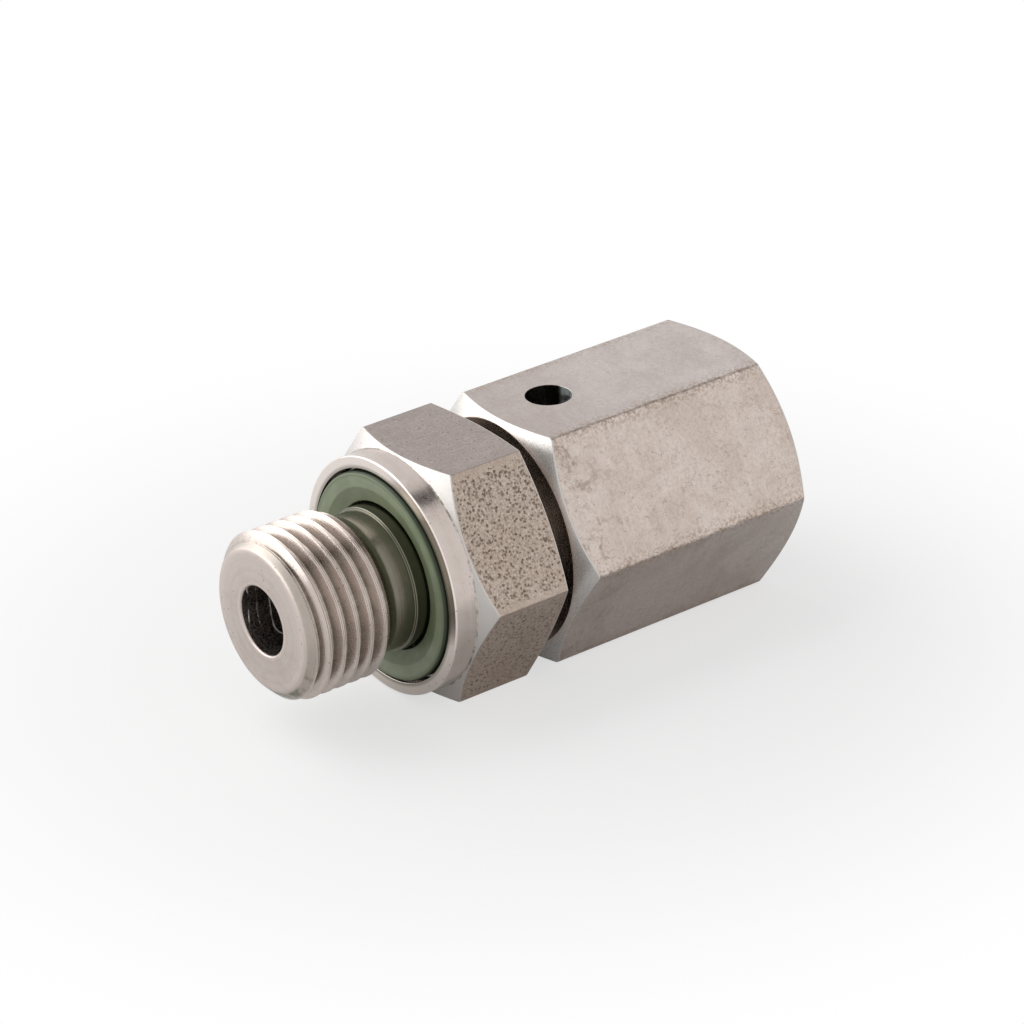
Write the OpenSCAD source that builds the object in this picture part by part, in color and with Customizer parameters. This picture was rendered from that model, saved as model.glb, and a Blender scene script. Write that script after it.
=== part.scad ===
// Swivel fitting: straight male stud coupling with a hexagon body, a stud for a tapped port with a
// profile seal, and a free-turning swivel nut over a 24 degree cone. The nut is held by a round wire
// that is fed through a hole in one of its flats into a channel shared by the nut and the spigot.
// The axis is X. The origin is the centre of the collar face that meets the port, and +X runs to the
// nut's open end. One flat of each hexagon faces up, and the opposite flats are what it rests on.
// Lengths are in millimetres.

/* [Hexagons] */
// Width across the flats of both hexagons, which take one size of spanner
across_flats = 14; // [13.5:0.1:17]
// Length from the collar face to the back of the body's hexagon
body_len = 7.15; // [6:0.01:11]
// Gap between the body's hexagon and the nut
nut_gap = 1.06; // [0.3:0.01:2]
// How far inside its flats the flat rim at the back of the body's hexagon begins
back_rim_inset = 0.35; // [0.1:0.05:0.6]
// How far inside the nut's flats the flat rim at each of its ends begins
nut_rim_inset = 0.3; // [0.1:0.05:0.5]

/* [Threaded stud] */
// Outside diameter of the stud's parallel pipe thread
stud_thread_d = 9.728; // [9.3:0.001:10.2]
// Pitch of the stud's thread
stud_pitch = 0.907; // [0.7:0.001:1.1]
// Length of the stud from the collar face to its end
stud_len = 8; // [7:0.1:12]
// Length of the undercut between the collar face and the thread
undercut_len = 2.72; // [2.2:0.01:3.4]
// Depth of the undercut below the thread's root
undercut_relief = 0.28; // [0.15:0.01:0.45]
// Diameter of the flat end of the stud, inside its chamfer
stud_end_d = 8.15; // [7.4:0.05:8.5]
// Diameter of the flow bore, drilled from the stud's end
bore_d = 4; // [3:0.1:4.6]

/* [Collar and seal] */
// Length of the round collar in front of the hexagon
collar_len = 1.4; // [1:0.1:2]
// Depth of the seal's recess in the collar face
recess_depth = 0.95; // [0.7:0.05:1.3]
// Width of the seal's face, from its hole to its rim
seal_width = 1.75; // [1.4:0.05:1.9]
// How far the seal's rim stands out of the collar face before it is pressed on a port
seal_proud = 0.2; // [0.1:0.01:0.3]
// How far the seal's inner edge lies behind its rim
seal_dish = 0.37; // [0.25:0.01:0.5]
// Gap between the seal's rim and the wall of its recess
seal_gap = 0.15; // [0.05:0.01:0.25]

/* [Swivel nut] */
// Length of the nut's plain bore, from its front face to the tapped part
nut_bore_len = 5.4; // [5:0.1:8]
// Length of the nut's tapped part, to its open end
nut_tap_len = 11; // [9.5:0.1:14]
// Outside diameter of the nut's thread
nut_thread_d = 12; // [11.6:0.1:12.4]
// Pitch of the nut's thread
nut_pitch = 1.5; // [1:0.25:1.75]

/* [Spigot and retaining wire] */
// Diameter of the spigot that the nut turns on
spigot_d = 8.9; // [8.6:0.05:9.2]
// Radial running clearance between the spigot and the nut
running_gap = 0.05; // [0.02:0.01:0.09]
// Diameter of the retaining wire
wire_d = 1.3; // [1:0.05:1.5]
// Distance from the nut's front face to the middle of the wire
wire_inset = 3.88; // [2.2:0.01:4.1]
// Clearance between the wire and its channel
wire_gap = 0.05; // [0.02:0.01:0.1]
// Angle left open between the wire's hooked end and its free end
wire_opening = 36; // [28:1:80]
// Depth of the wire's hook below the middle of its ring
hook_depth = 1.65; // [1.4:0.05:1.8]
// Diameter of the hole in the nut's flat that the wire is fed through
feed_hole_d = 2.65; // [2:0.05:3.2]
// How far behind the middle of the wire's channel the feed hole lies
feed_hole_back = 0.23; // [0:0.01:0.5]
// How far beside the middle line of its flat the feed hole lies
feed_hole_aside = 0.47; // [0:0.01:0.8]

/* [Cone] */
// Diameter of the cone at its large end
cone_big_d = 8.2; // [7.9:0.05:8.5]
// Diameter of the cone at its tip
cone_tip_d = 6.1; // [5.6:0.05:6.4]
// Diameter of the bore through the cone's tip
tip_bore_d = 2.5; // [1.8:0.1:2.7]
// Thickness of the cone's rubber ring
ring_cord = 1.5; // [1.3:0.05:1.6]
// How far the rubber ring stands out of the cone
ring_proud = 0.25; // [0.15:0.01:0.35]

/* [Hidden] */

$fn = 96;
OVER = 1;
EDGE = 0.15;
CHAMFER_ANGLE = 30;
BACK_CHAMFER_ANGLE = 15;
CONE_HALF_ANGLE = 12;
DRILL_HALF_ANGLE = 59;
PIPE_DEPTH_SHARE = 0.6403;
METRIC_DEPTH_SHARE = 0.5413;
REST_GAP = 0.02;

STEEL = [0.74, 0.71, 0.68];
NUT_STEEL = [0.78, 0.74, 0.70];
WIRE_STEEL = [0.62, 0.61, 0.60];
SEAL_GREEN = [0.36, 0.44, 0.33];
RING_BLACK = [0.09, 0.09, 0.10];

// A pipe thread's crest and root are each a sixth of its pitch wide.
pipe_depth = PIPE_DEPTH_SHARE * stud_pitch;
pipe_flat = stud_pitch / 6;
stud_r = stud_thread_d / 2;
stud_root_r = stud_r - pipe_depth;
undercut_r = stud_root_r - undercut_relief;

// The neck steps up beside the collar, and the seal sits round this land.
land_step = 0.17;
land_len = 0.55;
land_r = undercut_r + land_step;
seal_fit = 0.13;
seal_in_r = land_r + seal_fit;
seal_out_r = seal_in_r + seal_width;
seal_bevel = 0.1;
recess_r = seal_out_r + seal_gap;
collar_inset = 0.075;
collar_r = across_flats / 2 - collar_inset;
back_rim_r = across_flats / 2 - back_rim_inset;
nut_rim_r = across_flats / 2 - nut_rim_inset;

// A metric nut's thread is a quarter of its pitch wide at the crest and an eighth at the root.
metric_depth = METRIC_DEPTH_SHARE * nut_pitch;
nut_crest = nut_pitch / 4;
nut_root = nut_pitch / 8;
nut_root_r = nut_thread_d / 2;
nut_crest_r = nut_root_r - metric_depth;

nut_front = body_len + nut_gap;
nut_shoulder = nut_front + nut_bore_len;
nut_back = nut_shoulder + nut_tap_len;
nut_bore_r = spigot_d / 2 + running_gap;
nut_thread_runout = 1.4;

wire_r = wire_d / 2;
wire_x = nut_front + wire_inset;
wire_ring_r = spigot_d / 2 + running_gap / 2;
channel_r = wire_r + wire_gap;
hook_inner_bend = 0.1;
hook_bend = wire_r + hook_inner_bend;
hook_gap = 0.2;

cone_reach = 0.9;
cone_start = nut_shoulder + cone_reach;
cone_len = (cone_big_d - cone_tip_d) / 2 / tan(CONE_HALF_ANGLE);
cone_end = cone_start + cone_len;
groove_margin = 0.2;
groove_len = ring_cord + 2 * groove_margin;
ring_x = cone_start + cone_len / 2;
cone_mid_r = (cone_big_d + cone_tip_d) / 4;
ring_mid_r = cone_mid_r + ring_proud - ring_cord / 2;
groove_r = ring_mid_r - ring_cord / 2 - REST_GAP;
bore_back_off = 0.2;
bore_end = nut_shoulder - bore_back_off;

// Corner radius of a hexagon from its width across the flats
function corner_r(across) = across / 2 / cos(30);

// One turn of a thread's section, as [radius, x] points from the root before it to the root after it
function turn(x, pitch, low_r, high_r, low_flat, high_flat) = [
    [low_r, x + low_flat / 2 - pitch / 2],
    [high_r, x - high_flat / 2],
    [high_r, x + high_flat / 2],
    [low_r, x - low_flat / 2 + pitch / 2]];

// Number of whole turns between two places
function turn_count(from, to, pitch) = floor((to - from) / pitch);

// Section of those turns, ending at the second place
function turns(from, to, pitch, low_r, high_r, low_flat, high_flat) = [
    for (i = [turn_count(from, to, pitch) - 1 : -1 : 0])
        each turn(to - (i + 0.5) * pitch, pitch, low_r, high_r, low_flat, high_flat)];

// Turns [radius, x] points about the X axis
module revolve(points) {
    rotate([0, 90, 0]) rotate_extrude() polygon(points);
}

// Hexagon with flats above and below, its corners cut back by a cone at each end that starts on rim_r
module hexagon(across, from, to, front_rim, back_rim, back_angle = CHAMFER_ANGLE) {
    corner = corner_r(across);
    front_cut = (corner - front_rim) * tan(CHAMFER_ANGLE);
    back_cut = (corner - back_rim) * tan(back_angle);
    intersection() {
        translate([from, 0, 0]) rotate([0, 90, 0])
            linear_extrude(to - from) rotate(30) circle(corner, $fn = 6);
        revolve([
            [0, from], [front_rim, from], [corner, from + front_cut],
            [corner, to - back_cut], [back_rim, to], [0, to]]);
    }
}

// Thread section between the stud's chamfered end and the undercut
module stud_thread() {
    chamfer_len = stud_r - stud_end_d / 2;
    thread_end = -undercut_len;
    first_root = thread_end - turn_count(-stud_len, thread_end, stud_pitch) * stud_pitch;
    intersection() {
        revolve(concat(
            [[0, thread_end], [0, -stud_len], [stud_r, -stud_len],
             [stud_r, first_root - (stud_pitch - pipe_flat) / 2], [stud_root_r, first_root - pipe_flat / 2]],
            turns(-stud_len, thread_end, stud_pitch, stud_root_r, stud_r, pipe_flat, pipe_flat),
            [[stud_root_r, thread_end]]));
        revolve([
            [0, -stud_len], [stud_end_d / 2, -stud_len], [stud_r, chamfer_len - stud_len],
            [stud_r, thread_end], [0, thread_end]]);
    }
}

// Turned core from the undercut to the spigot's end, without the hexagon
module turned_core() {
    fillet = undercut_relief + pipe_flat;
    revolve([
        [0, -undercut_len - REST_GAP],
        [stud_root_r, -undercut_len - REST_GAP],
        [undercut_r, fillet - undercut_len],
        [undercut_r, -land_len],
        [land_r, land_step - land_len],
        [land_r, 0],
        [collar_r - EDGE / 2, 0],
        [collar_r, EDGE / 2],
        [collar_r, collar_len],
        [spigot_d / 2, collar_len],
        [spigot_d / 2, cone_start - EDGE - REST_GAP],
        [spigot_d / 2 - EDGE, cone_start - REST_GAP],
        [cone_big_d / 2, cone_start - REST_GAP],
        [cone_big_d / 2, cone_start],
        [cone_tip_d / 2, cone_end],
        [cone_tip_d / 2 - EDGE, cone_end + EDGE],
        [0, cone_end + EDGE]]);
}

// Bore drilled from the stud's end, with its drill point and the smaller hole through the cone
module flow_bore() {
    big = bore_d / 2;
    small = tip_bore_d / 2;
    point_len = (big - small) / tan(DRILL_HALF_ANGLE);
    revolve([
        [0, -stud_len - OVER],
        [big + EDGE + OVER, -stud_len - OVER],
        [big, EDGE - stud_len],
        [big, bore_end],
        [small, bore_end + point_len],
        [small, cone_end + OVER],
        [0, cone_end + OVER]]);
}

// Plane of the retaining wire's ring, turned so that its hooked end lies along the first axis
module at_hook() {
    translate([wire_x, 0, 0]) rotate([0, 90, 0]) rotate([0, 0, 180 + wire_opening / 2]) children();
}

// Hole in the spigot that takes the wire's hook
module hook_hole() {
    at_hook() translate([wire_ring_r - hook_depth - wire_gap, -hook_bend, 0]) rotate([0, 90, 0])
        cylinder(hook_depth + OVER, r = wire_r + hook_gap);
}

// Channel of the retaining wire, all the way round
module wire_channel() {
    translate([wire_x, 0, 0]) rotate([0, 90, 0])
        rotate_extrude() translate([wire_ring_r, 0]) circle(channel_r);
}

module body() {
    color(STEEL) difference() {
        union() {
            stud_thread();
            turned_core();
            hexagon(across_flats, collar_len, body_len, collar_r, back_rim_r, BACK_CHAMFER_ANGLE);
        }
        flow_bore();
        revolve([[land_r, -EDGE], [recess_r, -EDGE], [recess_r, recess_depth], [land_r, recess_depth]]);
        revolve([
            [groove_r, ring_x - groove_len / 2], [cone_big_d, ring_x - groove_len / 2],
            [cone_big_d, ring_x + groove_len / 2], [groove_r, ring_x + groove_len / 2]]);
        wire_channel();
        hook_hole();
    }
}

// Seal whose face dishes inwards, steeply inside its middle ridge and gently outside it
module profile_seal() {
    color(SEAL_GREEN) revolve([
        [seal_in_r, recess_depth],
        [seal_in_r, seal_dish - seal_proud],
        [seal_in_r + seal_width / 2, seal_dish / 3 - seal_proud],
        [seal_out_r - seal_bevel, -seal_proud],
        [seal_out_r, seal_bevel * 2 - seal_proud],
        [seal_out_r, recess_depth]]);
}

module swivel_nut() {
    thread_from = nut_shoulder + nut_thread_runout;
    thread_count = turn_count(thread_from, nut_back, nut_pitch);
    color(NUT_STEEL) difference() {
        hexagon(across_flats, nut_front, nut_back, nut_rim_r, nut_rim_r);
        revolve([
            [0, nut_front - OVER],
            [nut_bore_r + EDGE + OVER, nut_front - OVER],
            [nut_bore_r, nut_front + EDGE],
            [nut_bore_r, nut_shoulder],
            [nut_crest_r, nut_shoulder],
            [nut_crest_r, nut_back + OVER],
            [0, nut_back + OVER]]);
        revolve(concat(
            [[0, nut_back - thread_count * nut_pitch]],
            turns(thread_from, nut_back, nut_pitch, nut_crest_r, nut_root_r, nut_crest, nut_root),
            [[0, nut_back]]));
        revolve([
            [0, nut_back + OVER], [0, nut_back - metric_depth], [nut_crest_r, nut_back - metric_depth],
            [nut_root_r + EDGE + OVER, nut_back + OVER + EDGE]]);
        wire_channel();
        translate([wire_x + feed_hole_back, feed_hole_aside, 0]) cylinder(across_flats, d = feed_hole_d);
    }
}

// The wire's ring, and its hook: a bend towards the axis and a short straight end
module retaining_wire() {
    color(WIRE_STEEL) at_hook() {
        rotate_extrude(angle = 360 - wire_opening) translate([wire_ring_r, 0]) circle(wire_r);
        translate([wire_ring_r - hook_bend, 0, 0]) {
            rotate([0, 0, -90]) rotate_extrude(angle = 90) translate([hook_bend, 0]) circle(wire_r);
            translate([0, -hook_bend, 0]) rotate([0, -90, 0]) cylinder(hook_depth - hook_bend, r = wire_r);
        }
    }
}

module cone_o_ring() {
    color(RING_BLACK) translate([ring_x, 0, 0]) rotate([0, 90, 0])
        rotate_extrude() translate([ring_mid_r, 0]) circle(ring_cord / 2);
}

body();
profile_seal();
swivel_nut();
retaining_wire();
cone_o_ring();
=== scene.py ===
import math

import bmesh
import bpy
from mathutils import Matrix, Vector


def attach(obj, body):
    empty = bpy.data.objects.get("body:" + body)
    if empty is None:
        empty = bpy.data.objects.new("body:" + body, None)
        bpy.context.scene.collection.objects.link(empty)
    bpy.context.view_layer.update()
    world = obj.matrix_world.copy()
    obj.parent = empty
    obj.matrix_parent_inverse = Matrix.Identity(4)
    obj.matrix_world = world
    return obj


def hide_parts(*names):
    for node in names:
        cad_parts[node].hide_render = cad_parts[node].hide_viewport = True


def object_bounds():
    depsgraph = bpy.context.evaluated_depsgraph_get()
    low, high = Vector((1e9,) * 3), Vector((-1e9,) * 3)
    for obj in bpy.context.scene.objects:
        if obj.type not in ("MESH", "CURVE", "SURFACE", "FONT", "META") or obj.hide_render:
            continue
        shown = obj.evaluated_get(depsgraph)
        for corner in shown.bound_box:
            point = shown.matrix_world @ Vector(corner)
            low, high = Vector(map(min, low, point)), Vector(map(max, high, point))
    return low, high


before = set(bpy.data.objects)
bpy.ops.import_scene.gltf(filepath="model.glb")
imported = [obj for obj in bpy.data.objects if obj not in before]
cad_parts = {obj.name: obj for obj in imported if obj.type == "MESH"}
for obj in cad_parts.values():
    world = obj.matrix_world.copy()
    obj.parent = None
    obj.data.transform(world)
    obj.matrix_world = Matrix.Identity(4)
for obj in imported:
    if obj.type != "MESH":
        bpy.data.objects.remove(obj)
CAD_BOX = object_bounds()

# Lengths are in millimetres along the fitting's axis from the collar's face, as in the part's source.
# Angles start at the top and turn towards the camera's side, the way a right-hand thread winds.
MM = 0.001
FULL_TURN = 2 * math.pi
X_AXIS, Y_AXIS, Z_AXIS = Vector((1, 0, 0)), Vector((0, 1, 0)), Vector((0, 0, 1))

# Hexagons of the body and the nut
SECTOR = math.radians(60)
HALF_FLATS = 7.0
BODY_CORNER_ROUND = 0.10
NUT_CORNER_ROUND = 0.34
EDGE_ROUND = 0.06
BACK_EDGE_ROUND = 0.02
CHAMFER_SLOPE = math.tan(math.radians(30))
BACK_SLOPE = math.tan(math.radians(15))

# Stud, with its thread, undercut and bore
STUD_END = -8.0
STUD_END_R = 4.075
STUD_NOSE = 0.59
STUD_CHAMFER = math.radians(45)
STUD_R = 4.864
STUD_PITCH = 0.907
STUD_ROOT_R = 4.283
STUD_CREST = -3.2
THREAD_FROM = -7.79
THREAD_TO = -2.50
UNDERCUT_R = 4.003
UNDERCUT_TO = -0.60
LAND_R = 4.173
LAND_FROM = -0.54
BORE_R = 2.0
BORE_END = 13.41
BORE_POINT = 13.861

# Collar, with the seal in its recess
COLLAR_R = 6.925
COLLAR_LEN = 1.4
RECESS_R = 6.203
RECESS_DEPTH = 0.95
SEAL_IN_R = 4.303
SEAL_OUT_R = 6.053
SEAL_MID_R = (SEAL_IN_R + SEAL_OUT_R) / 2
SEAL_PROUD = 0.2
SEAL_DISH = 0.37
SEAL_BEVEL = 0.1
BODY_END = 7.15
BACK_RIM_R = 6.65

# Nut
NUT_FRONT = 8.21
NUT_BACK = 24.61
NUT_RIM_R = 6.7
NUT_BORE_R = 4.5
NUT_SHOULDER = 13.61
NUT_THREAD_FROM = 15.2
NUT_CREST_R = 5.188
NUT_ROOT_R = 6.0
NUT_PITCH = 1.5
NUT_RUN_OUT_SLOPE = 0.8
FEED_HOLE_R = 1.325
FEED_HOLE_FROM = 4.0
FEED_HOLE_BACK = 0.23
FEED_HOLE_ASIDE = 0.47

# Spigot and retaining wire, with the nearest points of the spigot and the nut's bore beside the wire's channel
SPIGOT_R = 4.45
SPIGOT_BESIDE = 1.5
NUT_BESIDE = 1.2
WIRE_X = 12.09
WIRE_RING_R = 4.475
WIRE_R = 0.65
WIRE_NOSE = 0.12
CHANNEL_R = 0.7
HOOK_HOLE_R = 0.85
HOOK_DEPTH = 1.65
HOOK_BEND = 0.75
HOOK_ANGLE = math.radians(18)

# Cone, with the groove of its rubber ring
CONE_START = 14.49
CONE_BIG_R = 4.1
CONE_END = 19.45
CONE_TIP_R = 3.05
CONE_EDGE = 0.15
TIP_BORE_R = 1.25
GROOVE_R = 2.305
GROOVE_FROM = 16.03
GROOVE_TO = 17.93
RING_X = 16.98
RING_MID_R = 3.075
RING_CORD_R = 0.75

# Undercut behind the stud's thread and the step up to the seal's land, as (x, r, rounding)
UNDERCUT = [
    (-2.28, UNDERCUT_R + 0.09, 0.5), (-1.9, UNDERCUT_R, 0.9), (-0.95, UNDERCUT_R + 0.005, 0.6),
    (UNDERCUT_TO, UNDERCUT_R + 0.015, 0.04), (-0.575, LAND_R - 0.05, 0.01), (LAND_FROM, LAND_R - 0.015, 0.02)]

# The hook's directions, outwards and along the ring, and a point on the middle line of its hole
HOOK_OUT = Vector((0, -math.sin(HOOK_ANGLE), math.cos(HOOK_ANGLE)))
HOOK_ALONG = Vector((0, -math.cos(HOOK_ANGLE), -math.sin(HOOK_ANGLE)))
HOOK_LINE = Vector((WIRE_X, 0, 0)) - HOOK_ALONG * HOOK_BEND

# Distance of the point that holds a flat stretch in place beside an arc
SUPPORT = 0.03

# Material numbers of the faces. DARK is steel painted dark for the shade in bores and in gaps between parts, and
# HOLE the feed hole's wall, painted dark with a painted lit side.
FLATS, TURNED, DARK, HOLE = 0, 1, 2, 3
FLAT_SHARE = "flat_share"


# Outlines, as lists of (place along the axis, radius)

def rounded(points, steps=5, support=SUPPORT):
    """An open outline of (x, r, rounding) corners, rounded where the rounding isn't 0.

    Each arc has a close point on both sides of it."""
    out = [points[0][:2]]
    for i in range(1, len(points) - 1):
        a, p, b = (Vector(points[j][:2]) for j in (i - 1, i, i + 1))
        size = points[i][2]
        if size == 0:
            out.append(tuple(p))
            continue
        to_a, to_b = a - p, b - p
        half = max(to_a.angle(to_b) / 2, 0.01)
        cut_back = min(size / math.tan(half), to_a.length * 0.42, to_b.length * 0.42)
        size = cut_back * math.tan(half)
        to_a_unit, to_b_unit = to_a.normalized(), to_b.normalized()
        centre = p + (to_a_unit + to_b_unit).normalized() * (size / math.sin(half))
        start, end = p + to_a_unit * cut_back, p + to_b_unit * cut_back
        out.append(tuple(start + to_a_unit * min(support, to_a.length * 0.05)))
        for k in range(steps + 1):
            spoke = (start - centre).lerp(end - centre, k / steps).normalized()
            out.append(tuple(centre + spoke * size))
        out.append(tuple(end + to_b_unit * min(support, to_b.length * 0.05)))
    out.append(points[-1][:2])
    return out


def half_circle(x, r, radius, from_r, steps=14, outward=False):
    """Points round a channel's section, from the low side to the high side of x, both at from_r."""
    sign = 1 if outward else -1
    out = []
    for k in range(steps + 1):
        turn = math.pi - (math.pi * k / steps)
        out.append((x + radius * math.cos(turn), r + sign * radius * math.sin(turn)))
    half_width = math.sqrt(radius ** 2 - (from_r - r) ** 2)
    out[0] = (x - half_width, from_r)
    out[-1] = (x + half_width, from_r)
    return out


def long_edge(round_r):
    """Radius of the centre of a hexagon's rounded long edge, and the angle from the edge to its arc's end."""
    centre = (HALF_FLATS - round_r) / math.cos(SECTOR / 2)
    tangent = math.atan(round_r * math.sin(SECTOR / 2) / (centre + round_r * math.cos(SECTOR / 2)))
    return centre, tangent


def hexagon_r(angle, round_r):
    """Radius of the hexagon at an angle, its long edges rounded."""
    off = abs((angle + SECTOR / 2) % SECTOR - SECTOR / 2)
    from_edge = SECTOR / 2 - off
    centre, tangent = long_edge(round_r)
    if from_edge < tangent:
        return centre * math.cos(from_edge) + math.sqrt(round_r ** 2 - (centre * math.sin(from_edge)) ** 2)
    return HALF_FLATS / math.cos(off)


def column_angles(round_r):
    """Angles of a mesh's columns, close together at the hexagon's long edges, and the angle of the first."""
    tangent = long_edge(round_r)[1]
    near = [tangent * k / 3 for k in range(4)]
    far = [math.radians(a) for a in (2, 3.5, 5, 7, 9.5, 12, 14.5, 17, 19.5, 22, 24.5, 27, 30)]
    side = near + [tangent + math.radians(0.22)] + far
    sector = sorted({-a for a in side if a > 0} | set(side))
    columns = []
    for k in range(6):
        columns += [SECTOR / 2 + k * SECTOR + a for a in sector[1:]]
    shift = columns[0]
    return [a - shift for a in columns] + [FULL_TURN], shift


ROUND_COLUMNS = [FULL_TURN * k / 180 for k in range(181)]


def one_turn(crest_flat, root_flat, depth, crest_round, root_round, seam=()):
    """Section of one turn of a thread from root to root.

    Lengths are shares of the pitch. Each point is (share of the pitch from the crest, height from 0 to 1)."""
    half_crest, half_root = crest_flat / 2, 0.5 - root_flat / 2
    corners = rounded([
        (-0.5, 0, 0), (-half_root, 0, root_round), (-half_crest, depth, crest_round),
        *((place, depth - low, 0) for place, low in seam),
        (half_crest, depth, crest_round), (half_root, 0, root_round), (0.5, 0, 0)], steps=3, support=0.01)
    return [(share, height / depth) for share, height in corners[:-1]]


# A rolled thread keeps a fine seam along its crest.
STUD_TURN = one_turn(crest_flat=1 / 6, root_flat=1 / 6, depth=0.6403, crest_round=0.035, root_round=0.10,
                     seam=((-0.042, 0), (0, 0.05), (0.042, 0)))
NUT_TURN = one_turn(crest_flat=1 / 4, root_flat=1 / 8, depth=0.5413, crest_round=0.02, root_round=0.06)
LONG_STRETCH = 0.12


def stretches(turn):
    """Pairs of neighbouring points of a thread's section, the last one up to the next root."""
    return list(zip(turn, turn[1:] + [(0.5, turn[0][1])]))


def height_at(turn, share):
    """Height of a thread's section at a share of the pitch from its crest."""
    share = (share + 0.5) % 1 - 0.5
    for (a, low), (b, high) in stretches(turn):
        if a <= share <= b:
            return low + (high - low) * (share - a) / (b - a)
    return turn[0][1]


def thread_rows(turn, angle, crest_x, crest_angle, pitch, start, end, limits):
    """Places and heights along a helical thread at an angle, cut off at its two ends and by sloped limits.

    Each limit is (place, height there, slope). Every long stretch of the section gets one more point,
    which slides to where a limit cuts the stretch, so that the number of points stays the same."""
    lead = pitch * (angle - crest_angle) / FULL_TURN
    first = math.floor((start - crest_x) / pitch) - 2
    last = math.ceil((end - crest_x) / pitch) + 1
    rows = []

    def limit(x):
        return min(low + (x - place) * slope for place, low, slope in limits)

    for count in range(first, last + 1):
        for (share, height), (next_share, next_height) in stretches(turn):
            points = [(share, height)]
            if next_share - share > LONG_STRETCH:
                a = crest_x + (count + share) * pitch + lead
                b = crest_x + (count + next_share) * pitch + lead
                over_a, over_b = height - limit(a), next_height - limit(b)
                part = over_a / (over_a - over_b) if over_a * over_b < 0 else 0.5
                part = min(max(part, 0.02), 0.98)
                points.append((share + (next_share - share) * part, height + (next_height - height) * part))
            for share_here, height_here in points:
                x = crest_x + (count + share_here) * pitch + lead
                if x < start or x > end:
                    x = min(max(x, start), end)
                    height_here = height_at(turn, (x - crest_x - lead) / pitch)
                rows.append((x, max(min(height_here, limit(x)), 0.0)))
    return rows


class Outline:
    """Closed outline under construction, with the kind of finish from each point to the next."""

    def __init__(self):
        self.points, self.kinds = [], []

    def add(self, points, kind):
        self.points.extend(points)
        self.kinds.extend([kind] * len(points))

    def add_hexagon(self, points):
        """Adds a hexagon's rounded outline, whose flat lies between its two middle points."""
        flat = len(points) // 2 - 1
        self.add(points[:flat], TURNED)
        self.add(points[flat:flat + 1], FLATS)
        self.add(points[flat + 1:], TURNED)


def body_outline(angle):
    """Closed outline of the body at an angle, with the kind of finish from each point to the next."""
    line = Outline()
    mouth = rounded([
        (BORE_END, BORE_R, 0), (STUD_END + 0.3, BORE_R, 0), (STUD_END, BORE_R, 0.16),
        (STUD_END, STUD_END_R, 0)])[:-1]
    line.add(mouth[:2], DARK)
    line.add(mouth[2:], TURNED)

    low = STUD_END_R - STUD_NOSE * math.tan(STUD_CHAMFER / 2)
    line.add([(STUD_END, low - SUPPORT)], TURNED)
    for k in range(6):
        turn = STUD_CHAMFER * k / 6
        line.add([(STUD_END + STUD_NOSE * (1 - math.cos(turn)), low + STUD_NOSE * math.sin(turn))], TURNED)
    line.add([(THREAD_FROM - SUPPORT, STUD_END_R + THREAD_FROM - SUPPORT - STUD_END)], TURNED)

    high = STUD_R - STUD_ROOT_R
    limits = ((STUD_END, (STUD_END_R - STUD_ROOT_R) / high, 1 / high), (THREAD_TO, 0.0, -1 / high))
    rows = thread_rows(STUD_TURN, angle, STUD_CREST, math.pi / 2, STUD_PITCH, THREAD_FROM, THREAD_TO, limits)
    line.add([(x, STUD_ROOT_R + high * height) for x, height in rows], TURNED)

    r = hexagon_r(angle, BODY_CORNER_ROUND)
    rise = min(0.25, 0.6 * (r - COLLAR_R))
    line.add(rounded([
        (THREAD_TO, STUD_ROOT_R, 0), *UNDERCUT,
        (RECESS_DEPTH, LAND_R, 0.1), (RECESS_DEPTH, RECESS_R, 0.1), (0, RECESS_R, 0.05),
        (0, COLLAR_R, 0.09), (COLLAR_LEN, COLLAR_R, 0.12),
        (COLLAR_LEN + rise * CHAMFER_SLOPE, COLLAR_R + rise, 0)])[1:], TURNED)
    hexagon = rounded([
        (COLLAR_LEN, COLLAR_R, 0), (COLLAR_LEN + (r - COLLAR_R) * CHAMFER_SLOPE, r, EDGE_ROUND),
        (BODY_END - (r - BACK_RIM_R) * BACK_SLOPE, r, BACK_EDGE_ROUND), (BODY_END, BACK_RIM_R, 0)])
    line.add_hexagon(hexagon[1:-1])
    line.add(hexagon[-1:], TURNED)

    line.add(rounded([
        (BODY_END, BACK_RIM_R, 0), (BODY_END, SPIGOT_R, 0.08), (WIRE_X - SPIGOT_BESIDE, SPIGOT_R, 0)])[1:], DARK)
    line.add(half_circle(WIRE_X, WIRE_RING_R, CHANNEL_R, SPIGOT_R), DARK)
    line.add(rounded([
        (WIRE_X + SPIGOT_BESIDE, SPIGOT_R, 0), (CONE_START - CONE_EDGE, SPIGOT_R, 0.03),
        (CONE_START, SPIGOT_R - CONE_EDGE, 0.03), (CONE_START, CONE_BIG_R, 0.03),
        (CONE_START + 0.02, CONE_BIG_R, 0)])[:-1], TURNED)
    fall = (CONE_BIG_R - CONE_TIP_R) / (CONE_END - CONE_START)
    groove_low = CONE_BIG_R - (GROOVE_FROM - CONE_START) * fall
    groove_high = CONE_BIG_R - (GROOVE_TO - CONE_START) * fall
    cone = rounded([
        (CONE_START + 0.02, CONE_BIG_R, 0), (GROOVE_FROM, groove_low, 0.06), (GROOVE_FROM, GROOVE_R, 0.1),
        (GROOVE_TO, GROOVE_R, 0.1), (GROOVE_TO, groove_high, 0.06), (CONE_END, CONE_TIP_R, 0.05),
        (CONE_END + CONE_EDGE, CONE_TIP_R - CONE_EDGE, 0.05), (CONE_END + CONE_EDGE, TIP_BORE_R, 0.06),
        (CONE_END - 0.5, TIP_BORE_R, 0)])
    line.add(cone[:-1], TURNED)
    line.add([cone[-1], (BORE_POINT, TIP_BORE_R)], DARK)
    return line.points, line.kinds


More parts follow.
